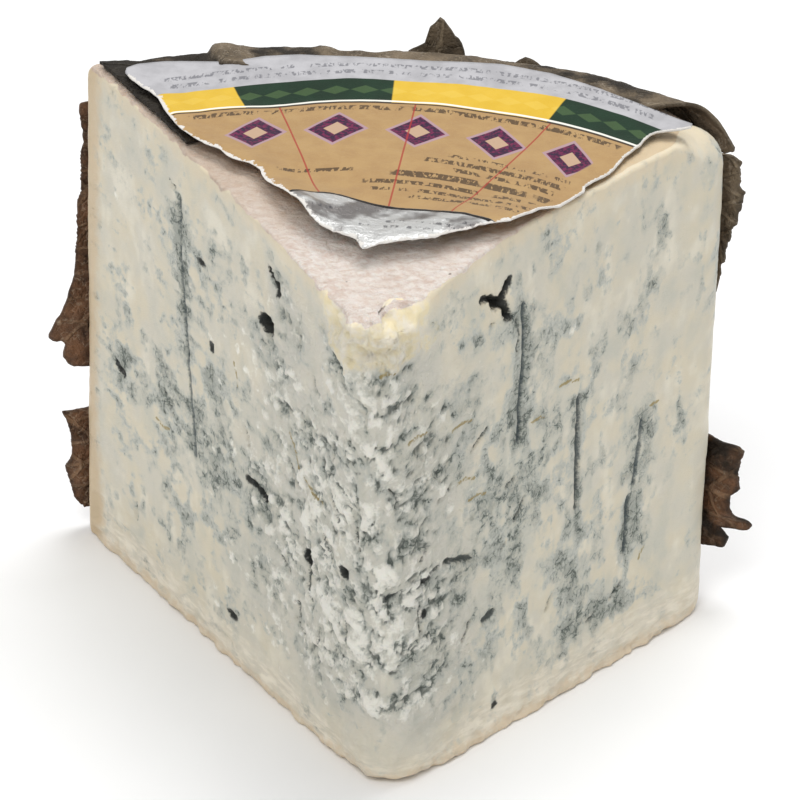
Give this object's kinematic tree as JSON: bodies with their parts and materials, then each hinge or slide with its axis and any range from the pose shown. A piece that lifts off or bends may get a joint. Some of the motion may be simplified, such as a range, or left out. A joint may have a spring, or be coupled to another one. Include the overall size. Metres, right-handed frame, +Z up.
{
  "type": "blue cheese wedge",
  "caption": "Wedge cut from a drum-shaped blue cheese, with a torn round paper label on top and ripening leaves round its rind.",
  "frame": {"origin": "middle of the base box, on the surface the wedge stands on", "axes": "+Z up, the nose of the wedge towards -Y, the leaf-wrapped rind towards +Y"},
  "size_m": [0.1315, 0.1039, 0.1033],
  "materials": {
    "paste": "satin",
    "label_paper": "satin",
    "leaf_grey": "matte",
    "leaf_dark": "matte",
    "leaf_brown": "matte"
  },
  "bodies": {
    "root": {"cheese": "paste", "label": "label_paper", "leaf_rim": "leaf_grey", "leaf_top": "leaf_dark", "leaf_back": "leaf_grey", "leaf_left_upper": "leaf_brown", "leaf_left_lower": "leaf_brown", "leaf_right_upper": "leaf_grey", "leaf_right_lower": "leaf_brown"}
  },
  "joints": []
}
